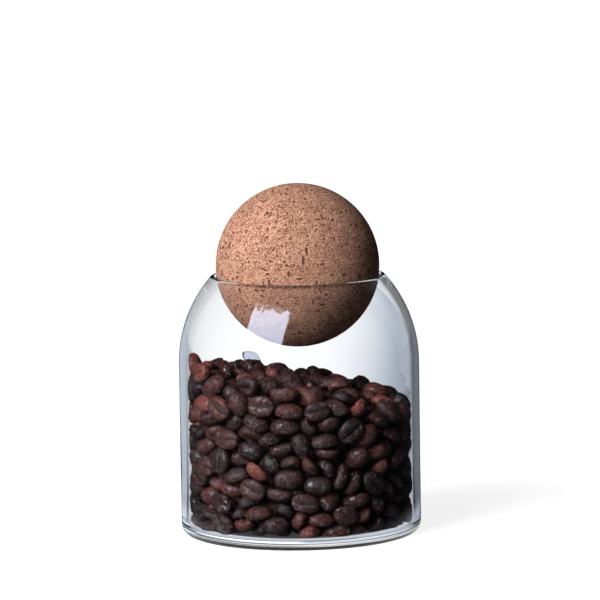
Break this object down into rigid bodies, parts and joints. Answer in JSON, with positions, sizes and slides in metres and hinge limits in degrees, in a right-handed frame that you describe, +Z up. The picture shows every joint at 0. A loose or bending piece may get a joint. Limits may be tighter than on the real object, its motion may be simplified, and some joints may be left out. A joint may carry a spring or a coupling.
{
  "type": "glass jar with cork ball stopper",
  "caption": "Round clear glass jar with a domed shoulder and open rim, stoppered by a loose cork ball and part-filled with roasted coffee beans.",
  "frame": {"origin": "middle of the jar's foot, on the surface it stands on", "axes": "+Z up along the jar's axis, -Y towards the viewer of the picture, +X the side where the beans lie lower"},
  "size_m": [0.1, 0.1, 0.1461],
  "materials": {
    "clear_glass": "polished",
    "cork": "matte",
    "roasted_bean": "satin"
  },
  "bodies": {
    "jar": {"glass_jar": "clear_glass", "coffee_beans": "roasted_bean", "bean_core": "roasted_bean"},
    "lid": {"cork_ball": "cork"}
  },
  "joints": [
    {"name": "lid_lift", "type": "slide", "parent": "jar", "child": "lid", "axis": [0, 0, 1], "range_m": [0, 0.06]}
  ]
}
